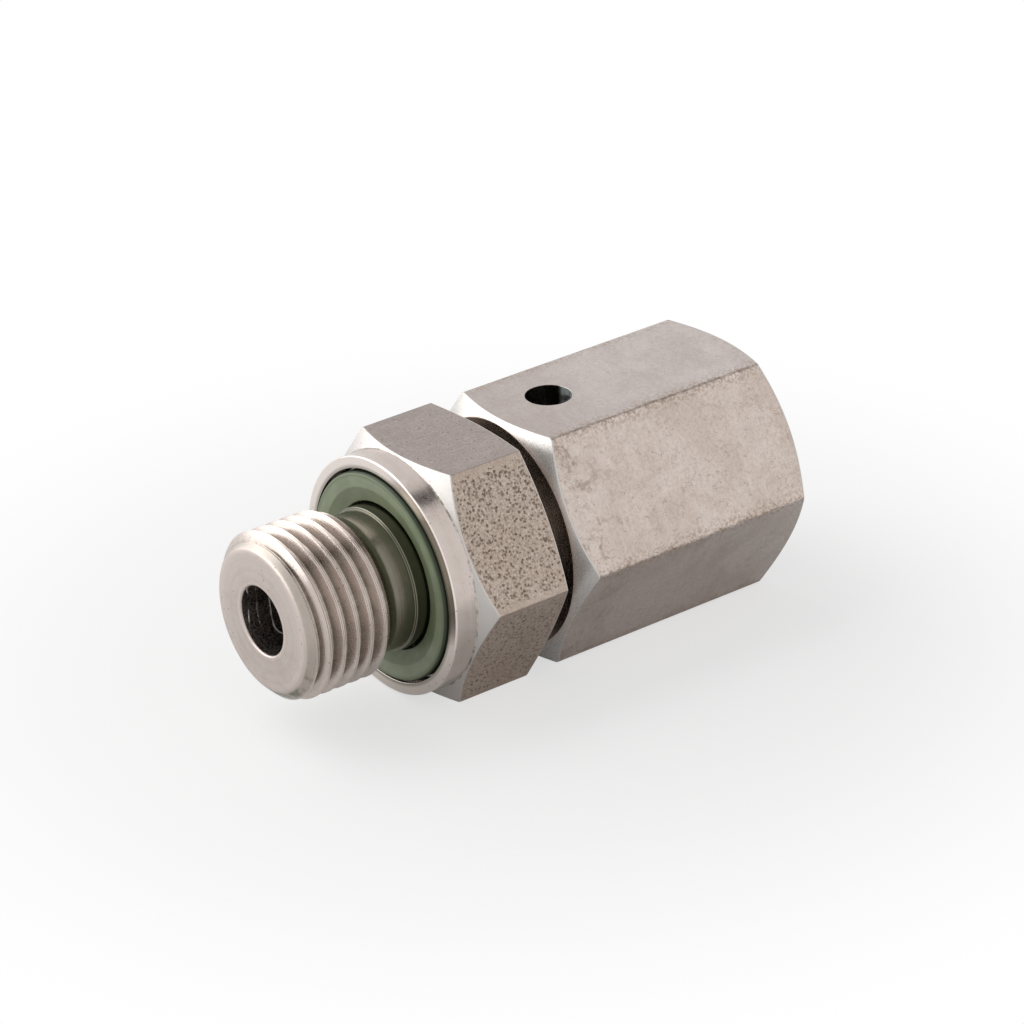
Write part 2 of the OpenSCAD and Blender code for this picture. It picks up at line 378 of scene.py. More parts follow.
def nut_outline(angle):
    """Closed outline of the nut at an angle, with the kind of finish from each point to the next."""
    line = Outline()
    line.add(rounded([
        (NUT_FRONT + 1.5, NUT_BORE_R, 0), (NUT_FRONT, NUT_BORE_R, 0.15), (NUT_FRONT, NUT_RIM_R, 0)])[:-1], DARK)

    r = hexagon_r(angle, NUT_CORNER_ROUND)
    line.add_hexagon(rounded([
        (NUT_FRONT, NUT_BORE_R, 0), (NUT_FRONT, NUT_RIM_R, 0.04),
        (NUT_FRONT + (r - NUT_RIM_R) * CHAMFER_SLOPE, r, EDGE_ROUND),
        (NUT_BACK - (r - NUT_RIM_R) * CHAMFER_SLOPE, r, EDGE_ROUND), (NUT_BACK, NUT_RIM_R, 0.04),
        (NUT_BACK, NUT_ROOT_R, 0)])[1:-1])

    deep = NUT_ROOT_R - NUT_CREST_R
    rows = thread_rows(NUT_TURN, angle, NUT_BACK - 0.5 * NUT_PITCH, 0, NUT_PITCH, NUT_THREAD_FROM, NUT_BACK,
                       ((NUT_BACK, 0.0, -1 / deep),))
    for x, height in reversed(rows):
        run_out = NUT_CREST_R + (x - NUT_THREAD_FROM) * NUT_RUN_OUT_SLOPE
        line.add([(x, min(NUT_ROOT_R - deep * height, run_out))], TURNED)

    line.add(rounded([
        (NUT_THREAD_FROM, NUT_CREST_R, 0), (NUT_SHOULDER, NUT_CREST_R, 0.05), (NUT_SHOULDER, NUT_BORE_R, 0.05),
        (WIRE_X + NUT_BESIDE, NUT_BORE_R, 0)])[1:-1], DARK)
    line.add(list(reversed(half_circle(WIRE_X, WIRE_RING_R, CHANNEL_R, NUT_BORE_R, outward=True))), DARK)
    return line.points, line.kinds


def seal_outline(angle):
    """Outline of the seal: flat behind, dished in two slopes in front, with a bevel at its rim."""
    points = rounded([
        (RECESS_DEPTH, SEAL_MID_R, 0), (RECESS_DEPTH, SEAL_IN_R, 0.05),
        (SEAL_DISH - SEAL_PROUD, SEAL_IN_R, 0.06), (SEAL_DISH / 3 - SEAL_PROUD, SEAL_MID_R, 0.2),
        (-SEAL_PROUD, SEAL_OUT_R - SEAL_BEVEL, 0.12), (2 * SEAL_BEVEL - SEAL_PROUD, SEAL_OUT_R, 0.2),
        (RECESS_DEPTH, SEAL_OUT_R, 0.05), (RECESS_DEPTH, SEAL_MID_R, 0)])[:-1]
    return points, [0] * len(points)


def ring_outline(angle):
    """Round section of the cone's rubber ring."""
    turns = [FULL_TURN * k / 32 for k in range(32)]
    points = [(RING_X + RING_CORD_R * math.cos(t), RING_MID_R + RING_CORD_R * math.sin(t)) for t in turns]
    return points, [0] * len(points)


def wire_path():
    """Points along the middle of the wire: round the channel, through the bend and down the hook's hole."""
    ring_steps, bend_steps = 120, 10
    path = []
    for k in range(ring_steps + 1):
        turn = HOOK_ANGLE + (FULL_TURN - 2 * HOOK_ANGLE) * (1 - k / ring_steps)
        path.append(Vector((WIRE_X, -WIRE_RING_R * math.sin(turn), WIRE_RING_R * math.cos(turn))))
    centre = Vector((WIRE_X, 0, 0)) + HOOK_OUT * (WIRE_RING_R - HOOK_BEND)
    for k in range(1, bend_steps + 1):
        turn = math.pi / 2 * k / bend_steps
        path.append(centre + HOOK_OUT * (HOOK_BEND * math.cos(turn)) - HOOK_ALONG * (HOOK_BEND * math.sin(turn)))
    path.append(HOOK_LINE + HOOK_OUT * (WIRE_RING_R - HOOK_DEPTH))
    return path


# Meshes

def linked(name, data):
    """New object of a mesh, lamp or camera, in the scene."""
    made = bpy.data.objects.new(name, data)
    bpy.context.scene.collection.objects.link(made)
    return made


def swept(name, outline, angles, shift=0.0):
    """Mesh of a closed outline turned about the axis, with its columns at the given angles plus the shift."""
    verts, faces, finish = [], [], []
    count = None
    for angle in angles:
        points, kinds = outline(angle + shift)
        count = count or len(points)
        if len(points) != count:
            raise ValueError(f"{name}: the outline changes its number of points at {angle}")
        s, c = math.sin(angle + shift), math.cos(angle + shift)
        verts.extend([(x * MM, -r * s * MM, r * c * MM) for x, r in points])
    for i in range(len(angles) - 1):
        for j in range(count):
            k = (j + 1) % count
            faces.append((i * count + j, i * count + k, (i + 1) * count + k, (i + 1) * count + j))
            finish.append(kinds[j])
    mesh = bpy.data.meshes.new(name)
    mesh.from_pydata(verts, [], faces)
    mesh.polygons.foreach_set("material_index", finish)
    bm = bmesh.new()
    bm.from_mesh(mesh)
    bmesh.ops.remove_doubles(bm, verts=bm.verts, dist=2e-7)
    bmesh.ops.recalc_face_normals(bm, faces=bm.faces)
    bm.to_mesh(mesh)
    bm.free()
    return linked(name, mesh)


def skinned(name, rings):
    """Mesh over rings of points in millimetres, closed by a flat face at both ends."""
    bm = bmesh.new()
    loops = [[bm.verts.new(spot * MM) for spot in ring] for ring in rings]
    count = len(rings[0])
    for low, high in zip(loops, loops[1:]):
        for k in range(count):
            bm.faces.new((low[k], low[(k + 1) % count], high[(k + 1) % count], high[k]))
    bm.faces.new(loops[0])
    bm.faces.new(loops[-1])
    bmesh.ops.recalc_face_normals(bm, faces=bm.faces)
    mesh = bpy.data.meshes.new(name)
    bm.to_mesh(mesh)
    bm.free()
    return linked(name, mesh)


def drill(name, profile, axes, steps, finish=DARK):
    """Round cutter from (height, radius) points along the last of three axes, given with their origin."""
    origin, across, along, up = axes
    turns = [FULL_TURN * k / steps for k in range(steps)]
    cutter = skinned(name, [
        [origin + across * (radius * math.cos(t)) + along * (radius * math.sin(t)) + up * height for t in turns]
        for height, radius in profile])
    for face in cutter.data.polygons:
        face.material_index = finish
    return cutter


def tube(name, path, radius, sides=24):
    """Mesh of a round wire along a path of points, its ends closed with a small chamfer."""
    ways = [(path[min(i + 1, len(path) - 1)] - path[max(i - 1, 0)]).normalized() for i in range(len(path))]
    points = [path[0], path[0] + ways[0] * WIRE_NOSE, *path[1:-1], path[-1] - ways[-1] * WIRE_NOSE, path[-1]]
    sizes = [radius - WIRE_NOSE, *[radius] * len(path), radius - WIRE_NOSE]
    turns = [FULL_TURN * k / sides for k in range(sides)]
    side = ways[0].orthogonal().normalized()
    rings = []
    for point, way, size in zip(points, [ways[0], *ways, ways[-1]], sizes):
        side = (side - way * side.dot(way)).normalized()
        other = way.cross(side)
        rings.append([point + (side * math.cos(t) + other * math.sin(t)) * size for t in turns])
    return skinned(name, rings)


def cut(piece, cutter):
    """Takes the cutter out of the piece's mesh."""
    modifier = piece.modifiers.new("cut", "BOOLEAN")
    modifier.operation = "DIFFERENCE"
    modifier.solver = "EXACT"
    modifier.object = cutter
    bpy.context.view_layer.update()
    mesh = bpy.data.meshes.new_from_object(piece.evaluated_get(bpy.context.evaluated_depsgraph_get()))
    piece.modifiers.clear()
    piece.data = mesh
    bpy.data.objects.remove(cutter)


def smooth(piece, degrees=32):
    """Smooth shading, with edges sharper than the angle kept sharp."""
    piece.data.shade_smooth()
    piece.data.set_sharp_from_angle(angle=math.radians(degrees))


def dress(piece, *materials):
    """Gives a piece its materials, in the order of their numbers."""
    for material in materials:
        piece.data.materials.append(material)


def flat_shares(piece, shares):
    """Gives the faces of each of the hexagon's sectors, counted from the top, their own share."""
    values = piece.data.attributes.new(FLAT_SHARE, "FLOAT", "FACE")
    for face in piece.data.polygons:
        turn = math.atan2(-face.center.y, face.center.z) % FULL_TURN
        values.data[face.index].value = shares[round(turn / SECTOR) % 6]


# Materials. Colours are linear (red, green, blue), and the scales of noises are per millimetre.

MIX_SHARE, MIX_A, MIX_B = 0, 6, 7
MIX_RESULT = 2


class Nodes:
    """A node tree under construction, with short calls for the nodes that it needs."""

    def __init__(self, tree):
        self.tree = tree

    def put(self, value, socket):
        """Links an output to a socket, or sets the socket's own value."""
        if isinstance(value, bpy.types.NodeSocket):
            self.tree.links.new(value, socket)
        else:
            socket.default_value = value

    def node(self, kind, *values, **settings):
        """New node with its settings and the values of its first sockets."""
        made = self.tree.nodes.new(kind)
        for key, value in settings.items():
            setattr(made, key, value)
        for value, socket in zip(values, made.inputs):
            self.put(value, socket)
        return made

    def math(self, operation, a, b=0.0):
        return self.node("ShaderNodeMath", a, b, operation=operation).outputs[0]

    def times(self, a, b):
        return self.math("MULTIPLY", a, b)

    def plus(self, a, b):
        return self.math("ADD", a, b)

    def minus(self, a, b):
        return self.math("SUBTRACT", a, b)

    def most(self, first, *others):
        """The greatest of some values."""
        for other in others:
            first = self.math("MAXIMUM", first, other)
        return first

    def ramp(self, value, low, high, to_low=0.0, to_high=1.0):
        """Smooth step of a value between two limits."""
        made = self.node("ShaderNodeMapRange", value, low, high, to_low, to_high,
                         interpolation_type="SMOOTHSTEP")
        return made.outputs[0]

    def fall(self, value, low, high, top=1.0):
        """Smooth step of a value down to 0."""
        return self.ramp(value, low, high, top, 0.0)

    def band(self, value, start, full, fade, end):
        """1 between two limits of a value, with a smooth step at both."""
        return self.times(self.ramp(value, start, full), self.fall(value, fade, end))

    def scaled(self, place, factors):
        return self.node("ShaderNodeVectorMath", place, factors, operation="MULTIPLY").outputs[0]

    def combine(self, x, y, z):
        return self.node("ShaderNodeCombineXYZ", x, y, z).outputs[0]

    def apart(self, place):
        return self.node("ShaderNodeSeparateXYZ", place).outputs

    def noise(self, place, scale, detail=2.0, rough=0.5, distortion=0.0):
        made = self.node("ShaderNodeTexNoise")
        for key, value in (("Vector", place), ("Scale", scale), ("Detail", detail), ("Roughness", rough),
                           ("Distortion", distortion)):
            self.put(value, made.inputs[key])
        return made.outputs["Fac"]

    def cells(self, place, scale):
        """Distance to the closest of many scattered points."""
        made = self.node("ShaderNodeTexVoronoi")
        self.put(place, made.inputs["Vector"])
        self.put(scale, made.inputs["Scale"])
        return made.outputs["Distance"]

    def mix(self, share, a, b):
        """A colour between two others."""
        made = self.node("ShaderNodeMix", data_type="RGBA")
        self.put(share, made.inputs[MIX_SHARE])
        for colour, socket in ((a, MIX_A), (b, MIX_B)):
            self.put((*colour, 1) if isinstance(colour, tuple) else colour, made.inputs[socket])
        return made.outputs[MIX_RESULT]

    def tint(self, colour, towards, mask, share):
        """A colour mixed towards another one, by a mask and a share of it."""
        return self.mix(self.times(mask, share), colour, towards)


class Shader(Nodes):
    """A material under construction, around its Principled BSDF."""

    def __init__(self, name, **sockets):
        self.material = bpy.data.materials.new(name)
        self.material.use_nodes = True
        super().__init__(self.material.node_tree)
        self.bsdf = self.tree.nodes["Principled BSDF"]
        for key, value in sockets.items():
            self.bsdf.inputs[key.replace("_", " ")].default_value = value

    def places(self):
        """Place in millimetres, the place along the axis, and the radius."""
        place = self.scaled(self.node("ShaderNodeTexCoord").outputs["Object"], (1 / MM, 1 / MM, 1 / MM))
        x, y, z = self.apart(place)
        radius = self.math("SQRT", self.plus(self.times(y, y), self.times(z, z)))
        return place, x, radius

    def to_long_edge(self, place, radius):
        """Distance on a flat to the closest of the hexagon's long edges."""
        _, y, z = self.apart(place)
        off = self.math("PINGPONG", self.math("ARCTAN2", y, z), SECTOR / 2)
        across = self.times(radius, self.math("SINE", off))
        return self.minus(HALF_FLATS * math.tan(SECTOR / 2), across)

    def to_end(self, x, radius, end, rim_r, slope):
        """Distance along the axis, on a flat, to the curved edge that an end's chamfer leaves.

        The slope is positive at a front end and negative at a back end."""
        depth = self.minus(x, end) if slope > 0 else self.minus(end, x)
        return self.minus(depth, self.times(self.minus(radius, rim_r), abs(slope)))

    def flat_share(self):
        """The share that flat_shares() gives each flat."""
        return self.node("ShaderNodeAttribute", attribute_name=FLAT_SHARE).outputs["Fac"]

    def surface(self, colour, roughness, height, depth, strength):
        """Sets the surface, with a bump of a depth in millimetres, and returns the material."""
        bump = self.node("ShaderNodeBump")
        for value, socket in (
                (strength, bump.inputs["Strength"]), (depth * MM, bump.inputs["Distance"]),
                (height, bump.inputs["Height"]), (colour, self.bsdf.inputs["Base Color"]),
                (roughness, self.bsdf.inputs["Roughness"]), (bump.outputs[0], self.bsdf.inputs["Normal"])):
            self.put(value, socket)
        return self.material


BROWN = (0.16, 0.105, 0.07)
# Olive grey of the painted shade in the stud's hollows, with a green cast that stands in for the seal's
# reflection.
PAINTED_SHADE_OLIVE = (0.160, 0.158, 0.118)


def nut_flats():
    """Milled and tumbled steel: a sandy grain, smears, brown specks by the long edges and burrs at the ends, with
    painted shade towards the front end and tones per flat painted in for the light each flat gets.
    """
    s = Shader("nut_flats", Metallic=1.0)
    place, x, radius = s.places()
    to_edge = s.to_long_edge(place, radius)
    to_front = s.to_end(x, radius, NUT_FRONT, NUT_RIM_R, CHAMFER_SLOPE)
    to_back = s.to_end(x, radius, NUT_BACK, NUT_RIM_R, -CHAMFER_SLOPE)
    warm = s.flat_share()
    worked = s.ramp(warm, 0.0, 0.5, 0.35, 1.0)
    cloud = s.noise(place, 0.30, 4, 0.6, 0.6)
    streaks = s.noise(s.scaled(place, (3.2, 0.35, 0.35)), 1.0, 3, 0.6, 0.4)
    grain = s.noise(place, 11.0, 2, 0.6)
    sand = s.noise(place, 5.5, 4, 0.7, 0.3)
    smear = s.noise(place, 0.75, 6, 0.72, 0.9)

    tone = s.ramp(cloud, 0.36, 0.64)
    colour = s.mix(tone, (0.500, 0.440, 0.415), (0.570, 0.515, 0.495))
    # Painted shade: the flats darken towards the front end.
    colour = s.mix(s.fall(to_front, 0.0, 11.0, 0.44), colour, (0.36, 0.305, 0.285))
    # Painted light: each flat's share turns it warmer and lighter, standing in for the light that flat gets.
    colour = s.mix(warm, colour, s.mix(tone, (0.590, 0.498, 0.440), (0.660, 0.575, 0.525)))
    colour = s.tint(colour, (0.42, 0.36, 0.33), s.ramp(streaks, 0.35, 0.65), 0.16)
    colour = s.tint(colour, (0.37, 0.295, 0.24), s.ramp(sand, 0.44, 0.66), 0.26)
    colour = s.tint(colour, (0.74, 0.67, 0.62), s.fall(sand, 0.30, 0.42), 0.20)

    front = s.ramp(to_front, 0.6, 5.0, 1.0, 0.28)
    stain = s.times(s.ramp(smear, 0.50, 0.66), s.times(front, s.ramp(sand, 0.36, 0.56, 0.35, 1.0)))
    colour = s.tint(colour, (0.29, 0.215, 0.165), s.times(stain, worked), 0.72)
    crease = s.math("ABSOLUTE", s.minus(s.noise(place, 2.1, 2, 0.6, 0.5), 0.5))
    nick = s.times(s.fall(crease, 0.004, 0.016), s.ramp(s.noise(place, 1.7, 3, 0.6), 0.52, 0.60))
    colour = s.tint(colour, (0.26, 0.20, 0.16), s.times(nick, worked), 0.40)
    specks = s.times(s.ramp(sand, 0.46, 0.58), s.fall(to_edge, 0.05, 0.95))
    colour = s.tint(colour, (0.30, 0.215, 0.15), specks, 0.55)
    rub_width = s.ramp(s.noise(place, 3.0, 4, 0.75), 0.38, 0.72, 0.06, 0.34)
    rub = s.times(s.fall(s.math("DIVIDE", to_edge, rub_width), 0.3, 1.0),
                  s.ramp(s.noise(place, 1.1, 4, 0.7), 0.46, 0.58, 0.05, 1.0))
    colour = s.tint(colour, (0.20, 0.14, 0.10), rub, 0.50)
    burr = s.times(s.fall(s.math("MINIMUM", to_front, to_back), 0.03, 0.13),
                   s.ramp(s.noise(place, 2.4, 3, 0.7), 0.44, 0.58, 0.1, 1.0))
    colour = s.tint(colour, (0.22, 0.165, 0.13), burr, 0.62)
    dots = s.fall(s.plus(s.cells(place, 1.5), s.times(sand, 0.25)), 0.14, 0.19)
    colour = s.tint(colour, BROWN, dots, 0.7)

    rough = s.plus(s.times(grain, 0.14), s.ramp(sand, 0.35, 0.7, 0.27, 0.38))
    height = s.plus(s.times(grain, 0.8), s.times(sand, 1.6))
    height = s.minus(height, s.times(s.most(dots, nick, burr), 1.2))
    return s.surface(colour, rough, height, 0.018, 0.6)


def body_flats():
    """Etched steel: brown pits in a fine light and dark mottle, few of them by the long edges and on the top, on a
    tone per flat from grey to tan that is painted in for the light each flat gets.
    """
    s = Shader("body_flats", Metallic=1.0)
    place, x, radius = s.places()
    to_edge = s.to_long_edge(place, radius)
    to_front = s.to_end(x, radius, COLLAR_LEN, COLLAR_R, CHAMFER_SLOPE)
    to_back = s.to_end(x, radius, BODY_END, BACK_RIM_R, -BACK_SLOPE)
    share = s.flat_share()
    cloud = s.noise(place, 0.5, 3, 0.6, 0.3)
    mottle = s.noise(place, 6.4, 3, 0.62, 0.4)
    grain = s.noise(place, 15.0, 2, 0.6)
    waver = s.noise(place, 7.0, 1, 0.5)
    drag = s.noise(s.scaled(place, (0.5, 3.5, 3.5)), 1.6, 4, 0.7, 0.2)

    calm = s.times(s.ramp(to_edge, 0.12, 0.62),
                   s.ramp(s.math("MINIMUM", to_front, to_back), 0.0, 0.22, 0.4, 1.0))
    amount = s.times(share, calm)
    limit = s.plus(s.times(amount, 0.31), s.times(s.minus(cloud, 0.5), 0.25))
    spread = s.plus(s.cells(place, 4.6), s.times(s.minus(waver, 0.5), 0.75))
    depth = s.ramp(s.noise(place, 3.4, 2, 0.6), 0.36, 0.60, 0.35, 1.0)
    pits = s.times(s.fall(s.minus(spread, limit), -0.06, 0.24), depth)
    small = s.fall(s.minus(s.cells(place, 8.6), s.times(amount, 0.20)), 0.04, 0.30)

    tone = s.ramp(cloud, 0.3, 0.7)
    tan = s.mix(tone, (0.468, 0.378, 0.318), (0.530, 0.440, 0.380))
    colour = s.mix(tone, (0.330, 0.282, 0.268), (0.385, 0.332, 0.318))
    colour = s.tint(colour, (0.22, 0.18, 0.165), s.ramp(drag, 0.50, 0.66), 0.26)
    colour = s.tint(colour, (0.52, 0.47, 0.45), s.fall(drag, 0.34, 0.44), 0.22)
    # Painted light: each flat's share turns it from grey to tan, standing in for the light that flat gets.
    colour = s.mix(s.ramp(share, 0.2, 0.6), colour, tan)
    colour = s.tint(colour, (0.25, 0.195, 0.155), s.ramp(mottle, 0.40, 0.62), 0.30)
    colour = s.tint(colour, (0.70, 0.605, 0.52), s.fall(mottle, 0.34, 0.46), s.times(amount, 0.35))
    colour = s.tint(colour, (0.20, 0.155, 0.13), s.fall(grain, 0.34, 0.48), 0.28)
    colour = s.tint(colour, (0.80, 0.70, 0.60), s.ramp(grain, 0.55, 0.68), s.times(amount, 0.40))
    colour = s.tint(colour, (0.17, 0.12, 0.09), small, 0.34)
    colour = s.tint(colour, (0.125, 0.082, 0.056), pits, 0.80)

    rough = s.plus(s.times(pits, 0.2), s.ramp(grain, 0.3, 0.7, 0.34, 0.46))
    height = s.minus(s.plus(s.times(grain, 0.5), s.times(mottle, 0.8)), pits)
    return s.surface(colour, rough, height, 0.022, 0.7)


def stud_painted_shade(s, place, x, radius):
    """Share of painted shade: in the thread's valleys, on the nose and more on its lower side, in the neck and on
    its step, in the corner between the collar and the chamfer, and on the collar's face beside the seal.
    """
    spots = s.noise(place, 1.3, 4, 0.7)
    patch = s.ramp(spots, 0.42, 0.62)
    outside_recess = s.fall(x, RECESS_DEPTH + 0.05, RECESS_DEPTH + 0.15)

    # Painted shade in the thread's valleys, darker towards the roots.
    valleys = s.times(s.fall(radius, STUD_ROOT_R, STUD_R - 0.04, s.ramp(spots, 0.36, 0.64, 0.24, 0.50)),
                      s.band(x, STUD_END + 0.1, STUD_END + 0.4, THREAD_TO, THREAD_TO + 0.1))

    up = s.apart(place)[2]
    # Painted shade on the nose, in patches, stronger on its lower side.
    under = s.times(s.fall(up, -3.4, -0.5, 0.60), patch)
    nose = s.times(s.band(x, STUD_END + 0.03, STUD_END + 0.16, STUD_END + 0.4, STUD_END + 0.6),
                   s.ramp(radius, 3.5, 3.6, 0.0, s.plus(under, 0.36)))

    # Painted shade in the neck and on its step up to the seal's land.
    on_land = s.ramp(x, LAND_FROM - 0.02, LAND_FROM + 0.04, 0.80, 0.60)
    neck = s.times(s.times(s.ramp(x, THREAD_TO, THREAD_TO + 0.1), outside_recess),
                   s.fall(radius, LAND_R, LAND_R + 0.15, on_land))
    step = s.times(s.times(s.ramp(x, UNDERCUT_TO - 0.10, UNDERCUT_TO),
                           s.fall(radius, LAND_R + 0.05, LAND_R + 0.20, 0.93)), outside_recess)

    # Painted shade in the corner between the collar and the chamfer, and on the collar's face beside the seal.
    corner = s.times(s.band(x, COLLAR_LEN - 0.09, COLLAR_LEN - 0.02, COLLAR_LEN + 0.06, COLLAR_LEN + 0.14),
                     s.fall(radius, COLLAR_R + 0.03, COLLAR_R + 0.09, s.times(patch, 0.85)))
    face = s.times(s.band(x, -0.3, -0.2, 0.02, 0.10),
                   s.fall(radius, RECESS_R + 0.08, RECESS_R + 0.30, 0.60))
    return s.most(valleys, nose, neck, step, corner, face)


def stud_scuff(s, place, x, radius):
    """Roughness that the stud's nose, bore's mouth and thread, and the hexagon's chamfers have on top."""
    front = s.fall(x, STUD_END + 0.25, STUD_END + 0.45)
    nose = s.times(front, s.ramp(radius, 3.2, 3.7, 0.0, 0.16))
    mouth = s.times(front, s.fall(radius, BORE_R + 0.15, BORE_R + 0.4, 0.22))
    chamfer = s.times(s.ramp(x, COLLAR_LEN, COLLAR_LEN + 0.1), s.ramp(radius, COLLAR_R, COLLAR_R + 0.1, 0.0, 0.15))
    thread = s.times(s.ramp(x, STUD_END + 0.2, STUD_END + 0.4), s.fall(x, THREAD_TO, THREAD_TO + 0.1, 0.03))
    return s.plus(s.plus(nose, mouth), s.plus(chamfer, thread))


def nothing(s, place, x, radius):
    """No painted shade, and no scuff."""
    return 0.0


def turned(name, colour_a, colour_b, roughness, painted_shade=nothing, scuff=nothing, rings=0.5, dirt=0.2):
    """Turned steel: fine rings of the tool, a few darker stains and specks, painted shade in the hollows where a
    function for it is given, and a painted highlight on the collar's front face.
    """
    s = Shader(name, Metallic=1.0, Anisotropic=0.25)
    place, x, radius = s.places()
    tangent = s.node("ShaderNodeTangent", direction_type="RADIAL", axis="X")
    s.put(tangent.outputs[0], s.bsdf.inputs["Tangent"])
    section = s.combine(x, radius, 0.0)
    fine = s.noise(section, 13.0, 3, 0.75)
    broad = s.noise(section, 2.2, 3, 0.55)
    grain = s.noise(place, 9.0, 3, 0.65)
    cloud = s.noise(place, 0.8, 5, 0.62, 0.5)
    stain = s.ramp(s.noise(place, 2.2, 5, 0.7, 0.6), 0.56, 0.78)
    specks = s.fall(s.cells(place, 1.7), 0.06, 0.10)

    tone = s.plus(s.times(broad, 0.45), s.times(cloud, 0.55))
    colour = s.mix(s.ramp(tone, 0.38, 0.62), colour_a, colour_b)
    colour = s.tint(colour, (0.42, 0.345, 0.30), s.ramp(cloud, 0.45, 0.70), 0.12)
    colour = s.tint(colour, (0.34, 0.28, 0.24), s.ramp(fine, 0.45, 0.70), rings * 0.3)
    chamfers = s.ramp(radius, COLLAR_R, COLLAR_R + 0.08, 0.0, 0.75)
    colour = s.mix(chamfers, colour, (0.555, 0.542, 0.525))
    colour = s.tint(colour, (0.24, 0.17, 0.13), stain, dirt)
    # Painted light: a pale colour on the collar's front face stands in for the bright floor that it reflects.
    collar_face_painted_light = s.band(x, -0.3, -0.2, 0.04, 0.12)
    colour = s.tint(colour, (0.88, 0.80, 0.75), collar_face_painted_light, 0.75)
    # Painted shade: the olive grey darkens the hollows that the given function picks out.
    colour = s.mix(painted_shade(s, place, x, radius), colour, PAINTED_SHADE_OLIVE)
    colour = s.tint(colour, BROWN, specks, 0.6)

    rough = s.plus(s.times(broad, 0.10), s.ramp(grain, 0.3, 0.7, roughness - 0.08, roughness))
    rough = s.plus(rough, scuff(s, place, x, radius))
    return s.surface(colour, rough, s.plus(fine, s.times(grain, 0.15)), 0.008, rings)


def painted_shade_steel(name):
    """Inside of bores and gaps: steel painted dark as their shade, lighter in the stud, with pale lines of the
    tool marks painted in as glints.
    """
    s = Shader(name, Metallic=1.0)
    place, x, radius = s.places()
    fine = s.noise(s.combine(x, s.times(radius, 0.5), 0.0), 9.0, 4, 0.75)
    cloud = s.noise(s.scaled(place, (2.6, 0.34, 0.34)), 0.8, 3, 0.6, 0.2)
    grain = s.noise(place, 7.0, 3, 0.65)
    drift = s.plus(x, s.times(s.noise(place, 0.35, 1, 0.5), 2.2))
    lines = s.ramp(s.noise(s.combine(drift, 0.0, 0.0), 3.4, 2, 0.6), 0.575, 0.64)
    tool_lines_and_glints = s.times(lines, s.ramp(s.noise(place, 0.75, 2, 0.5), 0.42, 0.58))
    # Painted shade: dark colours stand in for the shade inside bores and in the gaps between parts.
    colour = s.mix(s.ramp(cloud, 0.35, 0.68), (0.20, 0.165, 0.140), (0.43, 0.380, 0.345))
    colour = s.mix(s.fall(x, -1.0, 0.0, 0.55), colour, (0.56, 0.52, 0.49))
    colour = s.tint(colour, (0.12, 0.095, 0.08), s.ramp(fine, 0.5, 0.7), 0.3)
    # Painted glints: pale lines along the tool marks.
    colour = s.tint(colour, (0.80, 0.78, 0.75), tool_lines_and_glints, 0.8)
    rough = s.plus(s.ramp(grain, 0.3, 0.7, 0.22, 0.32), s.times(tool_lines_and_glints, 0.6))
    return s.surface(colour, rough, s.plus(fine, s.times(grain, 0.2)), 0.03, 0.6)


# Across the feed hole, the share along the axis and the share sideways of the way to its side that is painted
# lighter as lit
LIGHT_SIDE = (0.79, 0.61)


def hole_wall():
    """Wall of the feed hole: painted black as its shade, with a painted lighter side where light falls into it."""
    s = Shader("nut_hole", Metallic=1.0)
    place, x, _ = s.places()
    y = s.apart(place)[1]
    beside = s.minus(s.times(s.minus(x, WIRE_X + FEED_HOLE_BACK), LIGHT_SIDE[0]),
                     s.times(s.minus(y, FEED_HOLE_ASIDE), LIGHT_SIDE[1]))
    grain = s.noise(place, 7.0, 3, 0.65)
    streaks = s.noise(s.scaled(place, (1.0, 1.0, 5.0)), 1.5, 3, 0.6)
    light = s.times(s.ramp(beside, 0.46, 0.82), s.ramp(streaks, 0.35, 0.6, 0.5, 1.0))
    # Painted shade: near-black colours for the inside of the hole.
    colour = s.mix(s.ramp(grain, 0.3, 0.7), (0.030, 0.029, 0.024), (0.060, 0.054, 0.045))
    # Painted light: the lit side of the wall, in streaks.
    colour = s.mix(light, colour, (0.58, 0.62, 0.60))
    rough = s.plus(s.ramp(grain, 0.3, 0.7, 0.26, 0.38), s.times(light, 0.25))
    return s.surface(colour, rough, s.plus(streaks, grain), 0.01, 0.5)


